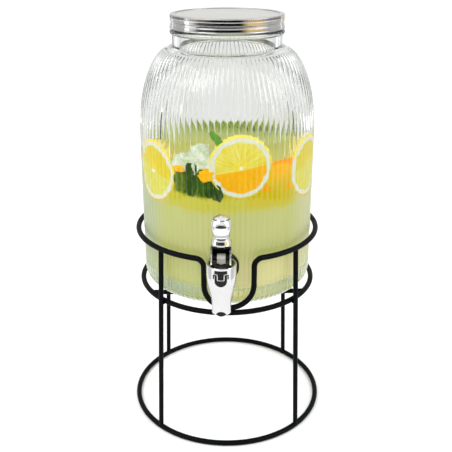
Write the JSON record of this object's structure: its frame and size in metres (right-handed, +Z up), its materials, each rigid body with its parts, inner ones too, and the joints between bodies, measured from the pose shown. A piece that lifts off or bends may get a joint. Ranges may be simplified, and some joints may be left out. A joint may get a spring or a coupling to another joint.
{
  "type": "beverage dispenser",
  "caption": "Countertop drink dispenser: a reeded glass jar with a two-piece screw lid and a self-closing lever tap, held upright in a welded wire stand with a dip for the tap.",
  "frame": {"origin": "on the table, under the jar's axis", "axes": "+Z up along the jar's axis, -Y the way the tap faces, +X to the right seen from the tap's side"},
  "size_m": [0.211, 0.2463, 0.4262],
  "materials": {
    "wire_black": "satin powder coat",
    "jar_glass": "clear, moulded reeds",
    "tinplate": "bright rolled tinplate",
    "liner": "matt",
    "chrome_plastic": "plated, mirror gloss",
    "black_plastic": "moulded",
    "white_plastic": "moulded",
    "silicone_black": "matt",
    "silicone_white": "matt",
    "steel": "drawn wire",
    "drink": "cloudy lemonade",
    "fruit": "wet citrus",
    "mint": "fresh leaf"
  },
  "bodies": {
    "stand": {"foot_ring": "wire_black", "shelf_ring": "wire_black", "guard_ring": "wire_black", "front_left_leg": "wire_black", "front_right_leg": "wire_black", "rear_left_leg": "wire_black", "rear_right_leg": "wire_black", "front_support_bar": "wire_black", "rear_support_bar": "wire_black"},
    "jar": {"jar": "jar_glass", "tap_body": "chrome_plastic", "tap_bonnet": "black_plastic", "outer_washer": "silicone_black", "inner_washer": "silicone_white", "shank_nut": "white_plastic"},
    "gasket": {"lid_gasket": "liner"},
    "lid": {"lid_disc": "tinplate"},
    "band": {"screw_band": "tinplate"},
    "valve": {"valve_stem": "white_plastic", "valve_cup": "silicone_white", "valve_spring": "steel"},
    "lever": {"lever": "chrome_plastic", "lever_pin": "steel"}
  },
  "joints": [
    {"name": "jar_lift", "type": "slide", "parent": "stand", "child": "jar", "axis": [0, 0, 1], "range_m": [0, 0.08]},
    {"name": "lid_lift", "type": "slide", "parent": "jar", "child": "gasket", "axis": [0, 0, 1], "range_m": [0, 0.12]},
    {"name": "lid_rise", "type": "slide", "parent": "gasket", "child": "lid", "axis": [0, 0, 1], "range_m": [0, 0.0105]},
    {"name": "band_turn", "type": "hinge", "parent": "lid", "child": "band", "pos_m": [0, 0, 0.4202], "axis": [0, 0, 1], "range_deg": [0, 720]},
    {"name": "valve_lift", "type": "slide", "parent": "jar", "child": "valve", "axis": [0, 0, 1], "range_m": [0, 0.0041], "deforming": ["valve_spring"]},
    {"name": "lever_tilt", "type": "hinge", "parent": "valve", "child": "lever", "pos_m": [0, -0.127, 0.2283], "axis": [1, 0, 0], "range_deg": [0, 50], "stiffness_Nm_per_rad": 0.03, "springref_deg": -34.38}
  ],
  "couplings": [
    {"joint": "lid_rise", "follows": "band_turn", "m_per_rad": 0.00080851},
    {"joint": "valve_lift", "follows": "lever_tilt", "m_per_rad": 0.0045837}
  ]
}
